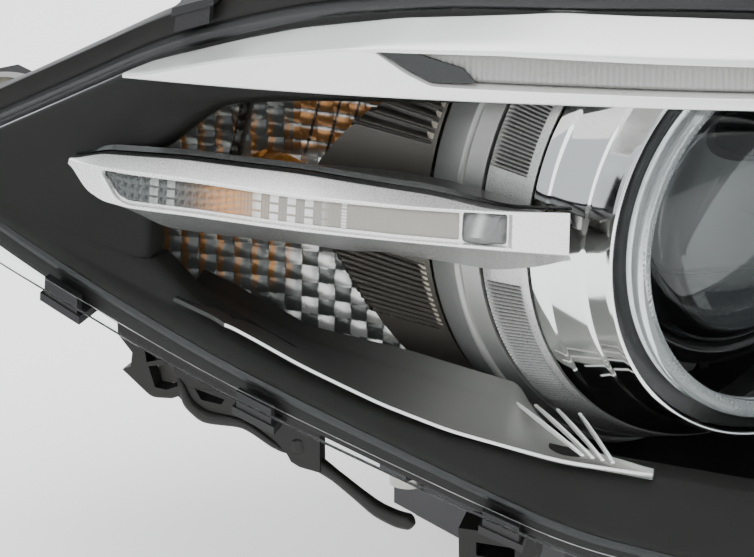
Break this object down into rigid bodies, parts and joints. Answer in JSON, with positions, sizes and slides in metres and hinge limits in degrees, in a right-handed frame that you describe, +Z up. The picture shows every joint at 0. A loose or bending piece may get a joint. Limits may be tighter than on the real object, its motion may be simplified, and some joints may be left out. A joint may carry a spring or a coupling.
{
  "type": "car headlight assembly",
  "caption": "Right-hand car headlamp with a swept clear lens, two haloed lamp barrels, an eyebrow light bar, a side marker fin and a tilting, swivelling projector.",
  "frame": {"origin": "centre of the bolt hole in the rear upper mounting tab", "axes": "+X inboard towards the grille, -Y forward along the beam, +Z up along the mounting bolt"},
  "size_m": [0.4399, 0.3249, 0.1785],
  "materials": {
    "housing_black": "moulded matt",
    "lens_clear": "clear gloss",
    "seal_rubber": "matt",
    "bezel_grey": "matt textured",
    "trim_chrome": "satin bright",
    "trim_graphite": "satin metallic",
    "trim_silver": "satin metallic",
    "light_guide": "frosted",
    "clear_optic": "clear polished",
    "circuit_board": "satin",
    "reflector": "mirror faceted",
    "bracket_steel": "plated",
    "cast_alloy": "as cast",
    "dark_plastic": "satin",
    "white_plastic": "satin",
    "bulb_glass": "clear",
    "amber_glass": "amber",
    "screw_zinc": "zinc plated",
    "seal_red": "silicone"
  },
  "bodies": {
    "lamp_body": {"rear_housing": "housing_black", "outer_lens": "lens_clear", "lens_seal": "seal_rubber", "lens_clips": "dark_plastic", "inner_bezel": "bezel_grey", "eyebrow_trim": "trim_chrome", "eyebrow_light_guide": "light_guide", "eyebrow_led_board": "circuit_board", "fin_trim": "trim_chrome", "fin_light_guide": "light_guide", "fin_marker_lens": "clear_optic", "fin_led_board": "circuit_board", "turn_reflector": "reflector", "louvre_panel_upper": "trim_graphite", "louvre_panel_lower": "trim_graphite", "tray_panel": "trim_silver", "tray_ribs": "trim_chrome", "low_ring_base": "trim_silver", "low_ribbed_collar": "trim_chrome", "low_chrome_bezel": "trim_chrome", "low_halo_ring": "clear_optic", "high_ring_base": "trim_silver", "high_ribbed_collar": "trim_chrome", "high_chrome_bezel": "trim_chrome", "high_halo_ring": "clear_optic", "low_shroud": "dark_plastic", "pivot_brackets": "dark_plastic", "level_motor": "dark_plastic", "high_beam_reflector": "reflector", "high_beam_bulb": "bulb_glass", "lower_bracket": "housing_black", "mount_bushes": "bracket_steel", "main_connector": "dark_plastic", "ballast_module": "cast_alloy", "ballast_screws": "screw_zinc", "vent_caps": "seal_rubber"},
    "tilt_frame": {"tilt_frame": "cast_alloy"},
    "projector": {"projector_lens": "clear_optic", "lens_retainer": "dark_plastic", "projector_bowl": "cast_alloy", "xenon_bulb": "bulb_glass", "bulb_igniter": "dark_plastic", "shutter_solenoid": "dark_plastic"},
    "shutter": {"beam_shutter": "bracket_steel"},
    "plunger": {"shutter_plunger": "bracket_steel"},
    "level_rod": {"level_rod": "white_plastic"},
    "vertical_screw": {"vertical_screw": "screw_zinc"},
    "vertical_nut": {"vertical_nut": "white_plastic"},
    "side_screw": {"side_screw": "screw_zinc"},
    "side_nut": {"side_nut": "white_plastic"},
    "low_cap": {"low_cap": "dark_plastic", "low_cap_seal": "seal_red"},
    "high_cap": {"high_cap": "dark_plastic", "high_cap_seal": "seal_red"},
    "turn_holder": {"turn_bulb_holder": "dark_plastic", "turn_bulb": "amber_glass"},
    "bulb_bail": {"bulb_bail": "bracket_steel"}
  },
  "joints": [
    {"name": "beam_tilt", "type": "hinge", "parent": "lamp_body", "child": "tilt_frame", "pos_m": [0, -0.103, -0.054], "axis": [1, 0, 0], "range_deg": [-3, 3]},
    {"name": "beam_swivel", "type": "hinge", "parent": "tilt_frame", "child": "projector", "pos_m": [0, -0.103, -0.054], "axis": [0, 0, 1], "range_deg": [-10, 10]},
    {"name": "shutter_flip", "type": "hinge", "parent": "projector", "child": "shutter", "pos_m": [0, -0.1286, -0.074], "axis": [1, 0, 0], "range_deg": [0, 50]},
    {"name": "shutter_pull", "type": "slide", "parent": "projector", "child": "plunger", "axis": [0, 1, 0], "range_m": [0, 0.0056]},
    {"name": "level_push", "type": "slide", "parent": "lamp_body", "child": "level_rod", "axis": [0, 1, 0], "range_m": [-0.0032, 0.0032]},
    {"name": "vertical_aim_turn", "type": "hinge", "parent": "lamp_body", "child": "vertical_screw", "pos_m": [0.044, -0.013, -0.016], "axis": [0, 1, 0], "range_deg": [-720, 720]},
    {"name": "vertical_aim_nut", "type": "slide", "parent": "lamp_body", "child": "vertical_nut", "axis": [0, 1, 0], "range_m": [-0.0031, 0.0031]},
    {"name": "side_aim_turn", "type": "hinge", "parent": "lamp_body", "child": "side_screw", "pos_m": [-0.044, -0.013, -0.016], "axis": [0, 1, 0], "range_deg": [-720, 720]},
    {"name": "side_aim_nut", "type": "slide", "parent": "lamp_body", "child": "side_nut", "axis": [0, 1, 0], "range_m": [-0.0031, 0.0031]},
    {"name": "low_cap_turn", "type": "hinge", "parent": "lamp_body", "child": "low_cap", "pos_m": [0, -0.003, -0.054], "axis": [0, 1, 0], "range_deg": [0, 45]},
    {"name": "high_cap_turn", "type": "hinge", "parent": "lamp_body", "child": "high_cap", "pos_m": [0.14, -0.123, -0.054], "axis": [0, 1, 0], "range_deg": [0, 45]},
    {"name": "turn_holder_turn", "type": "hinge", "parent": "lamp_body", "child": "turn_holder", "pos_m": [-0.085, -0.013, -0.054], "axis": [0, 1, 0], "range_deg": [0, 30]},
    {"name": "bail_swing", "type": "hinge", "parent": "lamp_body", "child": "bulb_bail", "pos_m": [0.14, -0.1836, -0.076], "axis": [1, 0, 0], "range_deg": [-60, 0]}
  ],
  "couplings": [
    {"joint": "level_push", "follows": "beam_tilt", "m_per_rad": 0.058},
    {"joint": "shutter_pull", "follows": "shutter_flip", "m_per_rad": 0.006},
    {"joint": "vertical_aim_nut", "follows": "vertical_aim_turn", "m_per_rad": -0.00023873},
    {"joint": "side_aim_nut", "follows": "side_aim_turn", "m_per_rad": -0.00023873}
  ]
}
